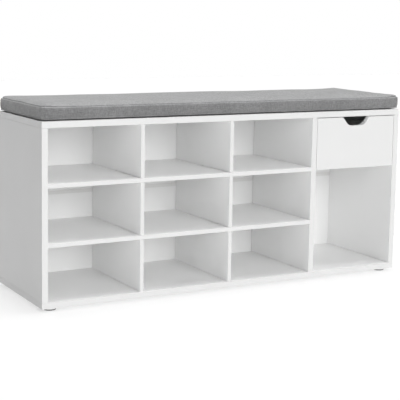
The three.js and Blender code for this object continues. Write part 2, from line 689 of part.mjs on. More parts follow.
// Rivet from z = 0 in the steel to a head past the roller.
function pinSolid(shankLength) {
  const head = 0.9;
  return turned([
    [0, 0],
    [PIN_RADIUS, 0],
    [PIN_RADIUS, shankLength],
    [PIN_HEAD_RADIUS, shankLength],
    [PIN_HEAD_RADIUS, shankLength + head / 2],
    [PIN_HEAD_RADIUS - head / 2, shankLength + head],
    [0, shankLength + head],
  ], PIN_SEGMENTS);
}

function runners() {
  const group = new THREE.Group();
  for (const side of BAY_SIDES) {
    // The drawer member's pin points from the drawer side towards the cabinet wall.
    const fromDrawer = { wall: side.wall + side.inward * RUNNER_SPACE, inward: -side.inward };
    const cabinetAxis = [CABINET_ROLLER_Y, CABINET_ROLLER_Z];
    const drawerAxis = [DRAWER_ROLLER_Y, DRAWER_ROLLER_Z];
    const cabinetShank = CABINET_ROLLER_U + ROLLER_WIDTH + GAP - CABINET_WEB;
    const drawerShank = DRAWER_WEB + RUNNER_STEEL + GAP - DRAWER_ROLLER_U;
    const cabinetWheel = rollerSolid(CABINET_ROLLER_RADIUS);
    const drawerWheel = rollerSolid(DRAWER_ROLLER_RADIUS);
    const cabinetRoller = acrossRunner(cabinetWheel, side, CABINET_ROLLER_U, ...cabinetAxis);
    const drawerRoller = acrossRunner(drawerWheel, side, DRAWER_ROLLER_U, ...drawerAxis);
    const cabinetPin = acrossRunner(pinSolid(cabinetShank), side, CABINET_WEB, ...cabinetAxis);
    const drawerPin = acrossRunner(pinSolid(drawerShank), fromDrawer, GAP, ...drawerAxis);
    group.add(piece(`cabinet_runner_${side.name}`, cabinetMember(side), coatedSteel()));
    group.add(piece(`drawer_runner_${side.name}`, drawerMember(side), coatedSteel()));
    group.add(piece(`cabinet_roller_${side.name}`, cabinetRoller, nylon()));
    group.add(piece(`drawer_roller_${side.name}`, drawerRoller, nylon()));
    group.add(piece(`cabinet_roller_pin_${side.name}`, cabinetPin, zincSteel()));
    group.add(piece(`drawer_roller_pin_${side.name}`, drawerPin, zincSteel()));
    RUNNER_SCREW_YS.forEach((y, index) => {
      const place = `${side.name}_${index === 0 ? 'front' : 'rear'}`;
      const cabinetScrew = cabinetScrewAt(woodScrew(RUNNER_SCREW_LENGTH), side, y);
      const drawerScrew = drawerScrewAt(woodScrew(DRAWER_SCREW_LENGTH), side, y);
      group.add(piece(`cabinet_runner_screw_${place}`, cabinetScrew, zincSteel()));
      group.add(piece(`drawer_runner_screw_${place}`, drawerScrew, zincSteel()));
    });
  }
  return group;
}

function drawer() {
  const group = new THREE.Group();
  group.add(piece('drawer_front', drawerFront(), melamine()));
  group.add(piece('drawer_side_left', drawerSide(BAY_SIDES[0]), drawerBoard()));
  group.add(piece('drawer_side_right', drawerSide(BAY_SIDES[1]), drawerBoard()));
  group.add(piece('drawer_back', drawerBack(), drawerBoard()));
  group.add(piece('drawer_bottom', drawerBottom(), hardboard()));
  return group;
}

// ---------------------------------------------------------------- cushion

function roundedRectangle(halfX, halfY, radius) {
  const shape = new THREE.Shape();
  shape.absarc(halfX - radius, halfY - radius, radius, 0, Math.PI / 2);
  shape.absarc(radius - halfX, halfY - radius, radius, Math.PI / 2, Math.PI);
  shape.absarc(radius - halfX, radius - halfY, radius, Math.PI, 1.5 * Math.PI);
  shape.absarc(halfX - radius, radius - halfY, radius, 1.5 * Math.PI, 2 * Math.PI);
  shape.closePath();
  return shape;
}

function cushionPad() {
  const halfX = LENGTH / 2 + CUSHION_OVERHANG - CUSHION_EDGE;
  const halfY = DEPTH / 2 - CUSHION_EDGE;
  const outline = roundedRectangle(halfX, halfY, CUSHION_CORNER - CUSHION_EDGE);
  const geometry = new THREE.ExtrudeGeometry(outline, {
    depth: CUSHION_THICKNESS - 2 * CUSHION_EDGE,
    bevelThickness: CUSHION_EDGE,
    bevelSize: CUSHION_EDGE,
    bevelSegments: 3,
    curveSegments: 4,
  });
  geometry.translate(0, 0, CARCASS_TOP + STRIP_SPACE + CUSHION_EDGE);
  return geometry;
}

function hookStrip(x) {
  const z = CARCASS_TOP + GAP;
  return box(
    [x - HOOK_STRIP.width / 2, -HOOK_STRIP.length / 2, z],
    [x + HOOK_STRIP.width / 2, HOOK_STRIP.length / 2, z + HOOK_STRIP.thickness],
  );
}

function seat() {
  const group = new THREE.Group();
  group.add(piece('cushion', cushionPad(), linen()));
  group.add(piece('hook_strip_left', hookStrip(-HOOK_STRIP.x), hookTape()));
  group.add(piece('hook_strip_right', hookStrip(HOOK_STRIP.x), hookTape()));
  return group;
}

// ---------------------------------------------------------------- assembly

const bench = new THREE.Group();
bench.add(carcass(), connectors(), feet(), drawer(), runners(), seat());

export default bench;
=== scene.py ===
import json
import math

import bpy
import numpy as np
from mathutils import Matrix, Vector, noise

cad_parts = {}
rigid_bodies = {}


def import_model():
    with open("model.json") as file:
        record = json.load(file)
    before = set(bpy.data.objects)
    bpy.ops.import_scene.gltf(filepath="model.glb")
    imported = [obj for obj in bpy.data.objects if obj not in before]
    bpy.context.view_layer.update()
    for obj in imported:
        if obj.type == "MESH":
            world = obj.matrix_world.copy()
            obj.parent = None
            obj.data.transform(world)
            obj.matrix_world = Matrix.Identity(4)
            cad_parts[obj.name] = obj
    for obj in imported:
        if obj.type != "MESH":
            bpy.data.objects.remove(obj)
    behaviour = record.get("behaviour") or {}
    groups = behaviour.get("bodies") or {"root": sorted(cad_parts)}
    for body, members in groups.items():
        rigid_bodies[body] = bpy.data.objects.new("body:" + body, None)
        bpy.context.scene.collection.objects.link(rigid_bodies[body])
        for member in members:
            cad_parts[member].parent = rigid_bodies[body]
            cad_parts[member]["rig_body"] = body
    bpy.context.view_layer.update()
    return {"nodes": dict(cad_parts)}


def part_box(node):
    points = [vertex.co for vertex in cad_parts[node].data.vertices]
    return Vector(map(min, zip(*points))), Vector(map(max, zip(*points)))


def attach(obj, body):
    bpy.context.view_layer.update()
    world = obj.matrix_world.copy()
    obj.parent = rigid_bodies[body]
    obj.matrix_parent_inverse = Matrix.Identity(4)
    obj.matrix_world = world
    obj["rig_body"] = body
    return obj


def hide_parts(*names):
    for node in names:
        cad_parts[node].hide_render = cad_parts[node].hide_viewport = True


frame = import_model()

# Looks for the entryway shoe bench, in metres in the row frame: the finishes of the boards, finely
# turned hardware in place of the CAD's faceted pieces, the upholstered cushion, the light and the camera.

MM = 0.001
UP = Vector((0, 0, 1))
SIDES = ("left", "right")
BAY_CENTRE = sum(corner.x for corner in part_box("drawer_front")) / 2
OUTER_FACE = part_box("right_side_panel")[1].x - MM    # what lies further out than this is an outer face


# ---------------------------------------------------------------- materials

class Nodes:
    """A node tree, with shorthand for adding nodes to it and linking them."""

    def __init__(self, tree):
        self.tree = tree

    def node(self, kind, **settings):
        made = self.tree.nodes.new(kind)
        for name, value in settings.items():
            setattr(made, name, value)
        return made

    def put(self, socket, value):
        if isinstance(value, bpy.types.NodeSocket):
            self.tree.links.new(value, socket)
        else:
            socket.default_value = value

    def calc(self, operation, *values, clamp=False):
        made = self.node("ShaderNodeMath", operation=operation, use_clamp=clamp)
        for socket, value in zip(made.inputs, values):
            self.put(socket, value)
        return made.outputs[0]

    def choose(self, factor, low, high):
        """low where factor is 0 and high where it is 1, for numbers."""
        made = self.node("ShaderNodeMix", data_type="FLOAT")
        self.put(made.inputs[0], factor)
        self.put(made.inputs[2], low)
        self.put(made.inputs[3], high)
        return made.outputs[0]


class Look(Nodes):
    """One procedural material, with shorthand for the patterns it is made of."""

    def __init__(self, name, **sockets):
        self.material = bpy.data.materials.new(name)
        self.material.use_nodes = True
        super().__init__(self.material.node_tree)
        self.shader = self.tree.nodes["Principled BSDF"]
        for socket, value in sockets.items():
            self.shader.inputs[socket.replace("_", " ")].default_value = value
        coordinates = self.node("ShaderNodeTexCoord")
        self.place = coordinates.outputs["Object"]
        self.facing = coordinates.outputs["Normal"]

    def remap(self, value, low, high, to_low, to_high):
        made = self.node("ShaderNodeMapRange")
        for socket, given in zip(made.inputs, (value, low, high, to_low, to_high)):
            self.put(socket, given)
        return made.outputs[0]

    def tint(self, factor, low, high):
        """low where factor is 0 and high where it is 1, for colours."""
        made = self.node("ShaderNodeMix", data_type="RGBA")
        self.put(made.inputs[0], factor)
        for socket, value in ((made.inputs[6], low), (made.inputs[7], high)):
            self.put(socket, value if isinstance(value, bpy.types.NodeSocket) else (*value, 1))
        return made.outputs[2]

    def split(self, vector):
        made = self.node("ShaderNodeSeparateXYZ")
        self.put(made.inputs[0], vector)
        return made.outputs

    def stretched(self, factors):
        made = self.node("ShaderNodeVectorMath", operation="MULTIPLY")
        self.put(made.inputs[0], self.place)
        made.inputs[1].default_value = factors
        return made.outputs[0]

    def dimmed(self, colour, factor):
        made = self.node("ShaderNodeVectorMath", operation="SCALE")
        self.put(made.inputs[0], colour)
        self.put(made.inputs["Scale"], factor)
        return made.outputs[0]

    def speckle(self, size, detail=2.0, stretch=None, place=None):
        """Noise from 0 to 1 whose features are about `size` metres across."""
        made = self.node("ShaderNodeTexNoise")
        made.inputs["Scale"].default_value = 1 / size
        made.inputs["Detail"].default_value = detail
        source = self.stretched(stretch) if stretch else (place or self.place)
        self.put(made.inputs["Vector"], source)
        return made.outputs["Fac"]

    def edges(self, radius):
        """1 along sharp edges, fading to 0 about `radius` metres away from them."""
        bevel = self.node("ShaderNodeBevel", samples=4)
        bevel.inputs["Radius"].default_value = radius
        flat = self.node("ShaderNodeNewGeometry").outputs["Normal"]
        dot = self.node("ShaderNodeVectorMath", operation="DOT_PRODUCT")
        self.put(dot.inputs[0], bevel.outputs[0])
        self.put(dot.inputs[1], flat)
        return self.remap(dot.outputs["Value"], 1.0, 0.8, 0.0, 1.0)

    def bump(self, height, distance, strength=1.0, below=None):
        made = self.node("ShaderNodeBump")
        made.inputs["Strength"].default_value = strength
        made.inputs["Distance"].default_value = distance
        self.put(made.inputs["Height"], height)
        if below is not None:
            self.put(made.inputs["Normal"], below)
        return made.outputs[0]

    def finish(self, colour, roughness=None, normal=None):
        self.put(self.shader.inputs["Base Color"], colour)
        if roughness is not None:
            self.put(self.shader.inputs["Roughness"], roughness)
        if normal is not None:
            self.put(self.shader.inputs["Normal"], normal)
        return self.material


def melamine():
    """White melamine-faced board: a faint mottling and a fine pore; the banded front edges and the outer
    faces are painted darker, as painted shade.
    """
    look = Look("melamine_white")
    cloud = look.speckle(90 * MM, detail=3)
    pore = look.speckle(0.9 * MM, detail=2)
    front = look.calc("LESS_THAN", look.split(look.facing)[1], -0.7)
    # The outer faces, which are painted darker as painted shade.
    outer = look.calc("GREATER_THAN", look.calc("ABSOLUTE", look.split(look.place)[0]), OUTER_FACE)
    face = look.tint(cloud, (0.925, 0.927, 0.926), (0.955, 0.956, 0.953))
    # Painted shade: the banded front edges are painted much darker than the faces.
    band_painted_shade = look.tint(cloud, (0.645, 0.646, 0.644), (0.665, 0.666, 0.663))
    scuff = look.calc("MULTIPLY", look.edges(0.7 * MM), look.remap(pore, 0.4, 0.7, 0.0, 0.25))
    # Painted shade: the faces, the darker outer faces and the darker front band mixed together.
    board_with_painted_shade = look.tint(front, look.tint(outer, face, (0.66, 0.661, 0.66)), band_painted_shade)
    colour = look.tint(scuff, board_with_painted_shade, (0.70, 0.69, 0.66))
    smoother_front = look.calc("MULTIPLY", front, 0.08)
    rough = look.calc("SUBTRACT", look.remap(cloud, 0.3, 0.7, 0.38, 0.48), smoother_front)
    return look.finish(colour, rough, look.bump(pore, 0.03 * MM, 0.5))


def hardboard():
    """Lacquered hardboard: smooth in front, with the pressed screen pattern on the rear face."""
    look = Look("hardboard_white")
    x, _, z = look.split(look.place)[:3]
    cloud = look.speckle(60 * MM, detail=3)
    fibre = look.speckle(1.6 * MM, detail=3, stretch=(1, 1, 0.35))
    rear = look.calc("GREATER_THAN", look.split(look.facing)[1], 0.7)
    turn = 2 * math.pi / (1.8 * MM)
    ridges_x = look.calc("SINE", look.calc("MULTIPLY", x, turn))
    ridges_z = look.calc("SINE", look.calc("MULTIPLY", z, turn))
    screen = look.calc("MULTIPLY", rear, look.calc("MAXIMUM", ridges_x, ridges_z))
    front_colour = look.tint(cloud, (0.92, 0.922, 0.92), (0.95, 0.951, 0.948))
    rear_colour = look.tint(fibre, (0.70, 0.69, 0.665), (0.79, 0.785, 0.765))
    colour = look.tint(rear, front_colour, rear_colour)
    rough = look.choose(rear, look.remap(fibre, 0.3, 0.7, 0.45, 0.58), 0.75)
    pressed = look.bump(screen, 0.15 * MM, 0.6)
    return look.finish(colour, rough, look.bump(fibre, 0.03 * MM, 0.4, below=pressed))


def drawer_board():
    """White foil-wrapped board with a faint embossed grain along the sides' length."""
    look = Look("drawer_foil_white")
    grain = look.speckle(2.2 * MM, detail=4, stretch=(1, 0.06, 1))
    cloud = look.speckle(70 * MM, detail=2)
    wear = look.calc("MULTIPLY", look.edges(0.6 * MM), look.remap(grain, 0.35, 0.65, 0.0, 0.3))
    foil = look.tint(cloud, (0.80, 0.80, 0.79), (0.84, 0.84, 0.83))
    colour = look.tint(wear, foil, (0.66, 0.62, 0.56))
    rough = look.remap(grain, 0.3, 0.7, 0.44, 0.58)
    return look.finish(colour, rough, look.bump(grain, 0.05 * MM, 0.5))


def coated_steel():
    """White epoxy coat on sheet steel: orange peel, with bare metal showing where edges have rubbed."""
    look = Look("steel_white_coat")
    peel = look.speckle(1.4 * MM, detail=1)
    smudge = look.speckle(25 * MM, detail=3)
    rub = look.calc("MULTIPLY", look.edges(0.4 * MM), look.remap(peel, 0.45, 0.6, 0.0, 0.8))
    coat = look.tint(smudge, (0.78, 0.78, 0.77), (0.83, 0.83, 0.82))
    look.put(look.shader.inputs["Metallic"], rub)
    colour = look.tint(rub, coat, (0.48, 0.48, 0.49))
    rough = look.remap(smudge, 0.3, 0.7, 0.30, 0.44)
    return look.finish(colour, rough, look.bump(peel, 0.06 * MM, 0.5))


def zinc_steel():
    """Bright zinc plating with the slight bloom and scratches of a bulk-plated screw."""
    look = Look("steel_zinc", Metallic=1.0, Anisotropic=0.3)
    bloom = look.speckle(2.5 * MM, detail=3)
    scratch = look.speckle(0.5 * MM, detail=2, stretch=(1, 1, 0.2))
    colour = look.tint(bloom, (0.50, 0.52, 0.55), (0.68, 0.69, 0.71))
    rough = look.remap(scratch, 0.3, 0.7, 0.22, 0.42)
    return look.finish(colour, rough, look.bump(scratch, 0.02 * MM, 0.4))


def white_plastic():
    """Moulded plastic with a fine spark texture, dulled and greyed near the floor."""
    look = Look("plastic_white")
    height = look.split(look.place)[2]
    spark = look.speckle(0.6 * MM, detail=2)
    patch = look.speckle(8 * MM, detail=2)
    # Darker and greyer towards the floor, over the lowest few millimetres of the feet.
    near_floor = look.remap(height, 2.6 * MM, 4.2 * MM, 0.5, 0.0)
    darker_near_floor = look.calc("MULTIPLY", near_floor, look.remap(patch, 0.2, 0.8, 0.7, 1.0))
    body = look.tint(patch, (0.80, 0.80, 0.79), (0.84, 0.84, 0.83))
    colour = look.tint(darker_near_floor, body, (0.30, 0.30, 0.29))
    rough = look.remap(spark, 0.3, 0.7, 0.42, 0.58)
    return look.finish(colour, rough, look.bump(spark, 0.05 * MM, 0.5))


def felt():
    """Dark grey needled felt."""
    look = Look("felt_grey", Roughness=1.0, Sheen_Weight=0.4, Sheen_Roughness=0.6)
    hair = look.speckle(0.5 * MM, detail=3)
    colour = look.tint(hair, (0.05, 0.05, 0.052), (0.12, 0.12, 0.122))
    return look.finish(colour, None, look.bump(hair, 0.2 * MM, 0.8))


def nylon(name, dark, light):
    """Nylon, a little translucent, with the fine marks of its mould and of running."""
    look = Look(name, Subsurface_Weight=0.12, Subsurface_Scale=0.002)
    cloud = look.speckle(4 * MM, detail=2)
    turned_marks = look.speckle(0.5 * MM, detail=1, stretch=(4, 1, 1))
    colour = look.tint(cloud, dark, light)
    rough = look.remap(turned_marks, 0.3, 0.7, 0.26, 0.42)
    return look.finish(colour, rough, look.bump(turned_marks, 0.02 * MM, 0.4))


def fastening_tape(name, pitch, height, sheen):
    """Hook or loop tape: a plain woven ground with rows of small raised tufts."""
    look = Look(name, Roughness=0.8, Sheen_Weight=sheen, Sheen_Roughness=0.5)
    x, y = look.split(look.place)[:2]
    turn = 2 * math.pi / pitch
    across = look.calc("SINE", look.calc("MULTIPLY", x, turn))
    along = look.calc("SINE", look.calc("MULTIPLY", y, turn))
    tuft = look.calc("MULTIPLY", look.remap(across, -0.2, 0.9, 0, 1), look.remap(along, -0.2, 0.9, 0, 1))
    fuzz = look.speckle(0.7 * MM, detail=3)
    raised = look.calc("ADD", tuft, look.calc("MULTIPLY", fuzz, 0.5))
    # Partly painted shade: the low ground between tufts is painted darker than the tufts; the fuzz adds a
    # random tone.
    colour = look.tint(raised, (0.52, 0.52, 0.51), (0.76, 0.76, 0.75))
    return look.finish(colour, None, look.bump(raised, height, 0.9))


def linen(name, dark, light):
    """Grey linen-look plain weave: crossing warp and weft, uneven slubs and a heathered tint.

    The weave runs along u and v, the two axes that lie in each face, so it needs no unwrapping. Painted
    light:
    the cloth is painted lightest where it faces up and darkest on the long sides.
    """
    thread_pitch = 1.1 * MM
    look = Look(name, Roughness=0.92, Specular_IOR_Level=0.25, Sheen_Weight=0.35, Sheen_Roughness=0.45)
    x, y, z = look.split(look.place)[:3]
    normal_x, _, normal_z = look.split(look.facing)[:3]
    # Painted light: a brightness factor by facing, lighter on top and darker on the long sides.
    side = look.remap(look.calc("ABSOLUTE", normal_x), 0.2, 0.9, 0.81, 1.0)
    painted_light_by_facing = look.remap(normal_z, 0.1, 0.8, side, 1.45)
    on_end = look.calc("GREATER_THAN", look.calc("ABSOLUTE", normal_x), 0.7)
    on_top = look.calc("GREATER_THAN", look.calc("ABSOLUTE", normal_z), 0.6)
    u = look.choose(on_end, x, y)
    v = look.choose(on_top, z, y)
    wander = look.speckle(14 * MM, detail=2)
    wobble = look.remap(wander, 0, 1, -0.5 * MM, 0.5 * MM)
    turn = math.pi / thread_pitch
    warp = look.calc("SINE", look.calc("MULTIPLY", look.calc("ADD", u, wobble), turn))
    weft = look.calc("SINE", look.calc("MULTIPLY", look.calc("ADD", v, wobble), turn))
    over = look.calc("GREATER_THAN", look.calc("MULTIPLY", warp, weft), 0.0)
    threads = look.choose(over, look.calc("ABSOLUTE", weft), look.calc("ABSOLUTE", warp))

    def streaks(first, second, third):
        combined = look.node("ShaderNodeCombineXYZ")
        for socket, (value, factor) in zip(combined.inputs, (first, second, third)):
            look.put(socket, look.calc("MULTIPLY", value, factor))
        return look.speckle(1.7 * MM, detail=3, place=combined.outputs[0])

    along_u = streaks((u, 0.16), (v, 1.0), (z, 0.3))
    along_v = streaks((u, 1.0), (v, 0.16), (x, 0.3))
    heather = look.calc("MULTIPLY", look.calc("ADD", along_u, along_v), 0.5)
    fleck = look.speckle(1.3 * MM, detail=2)
    broad = look.speckle(70 * MM, detail=2)
    tone = look.calc("ADD", look.remap(heather, 0.36, 0.64, 0.0, 1.0),
                     look.remap(fleck, 0.3, 0.7, -0.22, 0.22))
    tone = look.calc("ADD", tone, look.remap(broad, 0.3, 0.7, -0.12, 0.12), clamp=True)
    # The dyed tone, scaled by the painted light.
    dye_with_painted_light = look.dimmed(look.tint(tone, dark, light), painted_light_by_facing)
    # Painted shade: the hollows between the threads are painted darker.
    shadow = look.remap(threads, 0.0, 0.7, 0.72, 0.0)
    between_threads = tuple(0.35 * value for value in dark)
    colour = look.tint(look.calc("MULTIPLY", shadow, 0.55), dye_with_painted_light, between_threads)
    slub = look.bump(look.calc("ADD", heather, look.calc("MULTIPLY", fleck, 0.6)), 0.5 * MM, 0.6)
    return look.finish(colour, None, look.bump(threads, 0.25 * MM, 0.7, below=slub))


LOOKS = {
    "melamine": melamine(),
    "hardboard": hardboard(),
    "drawer_board": drawer_board(),
    "coated_steel": coated_steel(),
    "zinc_steel": zinc_steel(),
    "white_plastic": white_plastic(),
    "nylon": nylon("nylon_white", (0.80, 0.79, 0.74), (0.86, 0.85, 0.81)),
    "grey_nylon": nylon("nylon_grey", (0.13, 0.13, 0.132), (0.17, 0.17, 0.172)),
    "hook_tape": fastening_tape("tape_hook", 1.3 * MM, 0.4 * MM, 0.1),
    "loop_tape": fastening_tape("tape_loop", 0.9 * MM, 0.5 * MM, 0.5),
    "felt": felt(),
    "linen": linen("linen_grey", (0.175, 0.176, 0.178), (0.315, 0.316, 0.318)),
}


# ---------------------------------------------------------------- CAD nodes that are kept

BOARDS = [
    "top_panel", "bottom_panel", "left_side_panel", "right_side_panel", "main_divider",
    "cubby_divider_left", "cubby_divider_right", "lower_shelf", "upper_shelf", "drawer_front",
]
# Each kept node's look, and the width in millimetres by which its edges are eased
KEPT = {
    **{name: ("melamine", 0.35) for name in BOARDS},
    "back_panel_upper": ("hardboard", 0.2),
    "back_panel_lower": ("hardboard", 0.2),
    "back_joining_strip": ("white_plastic", 0.12),
    **{f"drawer_side_{side}": ("drawer_board", 0.35) for side in SIDES},
    "drawer_back": ("drawer_board", 0.35),
    "drawer_bottom": ("hardboard", 0.2),
    **{f"{member}_runner_{side}": ("coated_steel", 0.15)
       for member in ("cabinet", "drawer") for side in SIDES},
    **{f"hook_strip_{side}": ("hook_tape", 0.2) for side in SIDES},
}
SAME_POINT = 0.01 * MM
FLAT_ANGLE = math.radians(0.5)    # faces that meet at less than this are merged
EDGE_ANGLE = math.radians(40)     # edges sharper than this are eased


def dress(node, look, edge):
    """Gives a CAD node its finish and takes the knife edge off its corners."""
    node.data.materials.clear()
    node.data.materials.append(look)
    weld = node.modifiers.new("weld", "WELD")
    weld.merge_threshold = SAME_POINT
    flats = node.modifiers.new("flats", "DECIMATE")
    flats.decimate_type = "DISSOLVE"
    flats.angle_limit = FLAT_ANGLE
    bevel = node.modifiers.new("edge", "BEVEL")
    bevel.width = edge * MM
    bevel.segments = 2
    bevel.limit_method = "ANGLE"
    bevel.angle_limit = EDGE_ANGLE
    bevel.use_clamp_overlap = True


for name, (look_name, edge) in KEPT.items():
    dress(frame["nodes"][name], LOOKS[look_name], edge)


# ---------------------------------------------------------------- turned hardware

SMOOTH_ANGLE = math.radians(35)   # edges sharper than this stay sharp
SCREW_SEGMENTS, PIN_SEGMENTS, WHEEL_SEGMENTS = 48, 40, 72


def add_object(name, data):
    """A new object in the scene with that mesh or camera data."""
    made = bpy.data.objects.new(name, data)
    bpy.context.scene.collection.objects.link(made)
    return made


def add_piece(name, points, faces, look_name, body, node=None):
    """A new mesh piece that rides on a body, takes one of the finishes and may stand for a CAD node."""
    mesh = bpy.data.meshes.new(name)
    mesh.from_pydata([tuple(point) for point in points], [], faces)
    mesh.materials.append(LOOKS[look_name])
    mesh.shade_smooth()
    mesh.set_sharp_from_angle(angle=SMOOTH_ANGLE)
    piece = add_object(name, mesh)
    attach(piece, body)
    if node:
        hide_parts(node)
    return piece


def turned(rings, segments, origin, axis, closed=False):
    """Points and faces of a body of revolution.

    Each ring is (radius, distance along the axis), and a radius may be a function of the angle.
    A closed profile joins its last ring to its first; otherwise both ends meet at a point on the axis.
    """
    axis = Vector(axis).normalized()
    side = axis.orthogonal().normalized()
    other = axis.cross(side)
    points, rows = [], []
    for radius, along in rings:
        centre = Vector(origin) + axis * along
        if radius == 0:
            rows.append([len(points)] * segments)
            points.append(centre)
            continue
        rows.append(list(range(len(points), len(points) + segments)))
        for step in range(segments):
            angle = 2 * math.pi * step / segments
            reach = radius(angle) if callable(radius) else radius
            spoke = side * (reach * math.cos(angle)) + other * (reach * math.sin(angle))
            points.append(centre + spoke)
    pairs = list(zip(rows, rows[1:]))
    if closed:
        pairs.append((rows[-1], rows[0]))
    faces = []
    for near, far in pairs:
        for step in range(segments):
            after = (step + 1) % segments
            corners = [near[step], near[after], far[after], far[step]]
            face = [corner for place, corner in enumerate(corners) if corner not in corners[:place]]
            if len(face) > 2:
                faces.append(face)
    return points, faces


TINY = 1e-6                       # keeps divisors away from zero


def hexagon(flat):
    """Radius of a hexagonal socket with that distance from its centre to a flat, at an angle."""
    sixth = math.pi / 3
    return lambda angle: flat / math.cos((angle + sixth / 2) % sixth - sixth / 2)


def cross(reach, half_width):
    """Radius of a cross recess whose arms reach that far and are twice half_width wide, at an angle."""
    def radius(angle):
        cosine, sine = max(abs(math.cos(angle)), TINY), max(abs(math.sin(angle)), TINY)
        first = min(reach / cosine, half_width / sine)
        second = min(reach / sine, half_width / cosine)
        return max(first, second)
    return radius


def scaled(rings):
    """Rings given in millimetres, in metres; a radius that is a function is in metres already."""
    return [(radius if callable(radius) else radius * MM, along * MM) for radius, along in rings]


def wood_screw_rings(length):
    """A low pan head with a cross recess, then the shank; distances run in from the head's outer face."""
    return scaled([
        (0, 1.5), (cross(0.9 * MM, 0.25 * MM), 1.5), (cross(1.9 * MM, 0.42 * MM), 0.1),
        (cross(2.0 * MM, 0.5 * MM), 0.0), (2.4, 0.0), (2.85, 0.1), (3.25, 0.34), (3.48, 0.62), (3.5, 0.95),
        (3.42, 1.1), (1.75, 1.1), (1.75, length - 2.5), (0.4, length - 0.05), (0, length),
    ])


def connector_rings():
    """A countersunk connector screw with a hex socket; distances run down from the head's face."""
    return scaled([
        (0, 3.0), (hexagon(1.9 * MM), 2.9), (hexagon(2.0 * MM), 0.15), (hexagon(2.15 * MM), 0.0),
        (4.7, 0.0), (4.93, 0.08), (5.0, 0.25), (5.0, 1.0), (3.5, 3.0), (3.5, 15.0), (3.0, 15.0),
        (3.0, 47.0), (2.0, 50.0), (0, 50.0),
    ])


def roller_rings(radius, width):
    """A nylon wheel with a bore, a hub, a shallow dish between hub and tread, and eased tread corners."""
    bore, hub, rim = 2.08, 3.4, radius - 1.6
    slope, dish = 0.35, 0.45
    half = [(bore, 0.0), (hub, 0.0), (hub + slope, dish), (rim - slope, dish), (rim, 0.0),
            (radius - 0.7, 0.0), (radius - 0.25, 0.18), (radius, 0.7)]
    return scaled(half + [(reach, width - along) for reach, along in reversed(half)])


def pin_rings(length):
    """A domed rivet head, then the shank; distances run in from the top of the dome."""
    return scaled([
        (0, 0.0), (1.2, 0.05), (2.2, 0.18), (3.0, 0.4), (3.42, 0.65), (3.5, 0.85), (3.5, 0.9), (2.0, 0.9),
        (2.0, length - 0.15), (1.85, length), (0, length),
    ])


def foot_rings():
    """The glide foot's outline from the screw hole outwards; distances run up from the floor."""
    return scaled([
        (2.3, 3.5), (5.3, 3.5), (5.5, 3.3), (5.5, 2.7), (15.2, 2.7), (15.7, 2.85), (15.9, 3.1), (16.0, 3.5),
        (16.0, 6.9), (15.8, 7.4), (15.3, 7.7), (2.3, 7.7),
    ])


def felt_rings():
    """The felt ring under the foot; distances run up from the floor."""
    return scaled([
        (6.0, 0.3), (6.3, 0.0), (14.7, 0.0), (15.3, 0.2), (15.6, 0.7), (15.7, 1.4), (15.6, 2.62),
        (6.0, 2.62),
    ])


def centre_of(low, high):
    return (low + high) / 2


def add_turned(node, rings, segments, origin, axis, look_name, closed=False):
    """A turned piece in place of a CAD node, on the node's own body."""
    points, faces = turned(rings, segments, origin, axis, closed)
    body = frame["nodes"][node]["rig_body"]
    add_piece(f"{node}_fine", points, faces, look_name, body, node)


def towards_bay(x):
    """The direction along x from there to the middle of the drawer bay."""
    return Vector((1 if x < BAY_CENTRE else -1, 0, 0))


def end_point(low, high, axis):
    """The middle of the box's face that the axis points out of."""
    return centre_of(low, high) + Vector(axis) * abs(Vector(axis).dot(high - low)) / 2


def add_hardware():
    """Turned pieces for every screw, pin, roller and foot, and a felt ring under each foot."""
    for node in sorted(frame["nodes"]):
        low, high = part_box(node)
        middle = centre_of(low, high)
        if node.startswith("connector_screw"):
            into = -UP if "_top_" in node else UP
            rings = connector_rings()
            add_turned(node, rings, SCREW_SEGMENTS, end_point(low, high, -into), into, "zinc_steel")
        elif node.startswith(("foot_screw", "drawer_runner_screw")):
            length = (high.z - low.z) / MM
            rings = wood_screw_rings(length)
            add_turned(node, rings, SCREW_SEGMENTS, end_point(low, high, -UP), UP, "zinc_steel")
        elif node.startswith("cabinet_runner_screw"):
            length = (high.x - low.x) / MM
            rings, head = wood_screw_rings(length), towards_bay(middle.x)
            add_turned(node, rings, SCREW_SEGMENTS, end_point(low, high, head), -head, "zinc_steel")
        elif "_roller_pin_" in node:
            length = (high.x - low.x) / MM
            inward = towards_bay(middle.x)
            head = inward if node.startswith("cabinet") else -inward
            rings = pin_rings(length)
            add_turned(node, rings, PIN_SEGMENTS, end_point(low, high, head), -head, "zinc_steel")
        elif "_roller_" in node:
            width, radius = (high.x - low.x) / MM, (high.z - low.z) / 2 / MM
            start = Vector((low.x, middle.y, middle.z))
            rings = roller_rings(radius, width)
            add_turned(node, rings, WHEEL_SEGMENTS, start, (1, 0, 0), "nylon", closed=True)
        elif node.startswith("foot_"):
            base = Vector((middle.x, middle.y, low.z))
            add_turned(node, foot_rings(), WHEEL_SEGMENTS, base, UP, "white_plastic", closed=True)
            points, faces = turned(felt_rings(), WHEEL_SEGMENTS, base, UP, closed=True)
            name = node.replace("foot_", "foot_felt_")
            add_piece(name, points, faces, "felt", "carcass")


add_hardware()


# ---------------------------------------------------------------- cushion

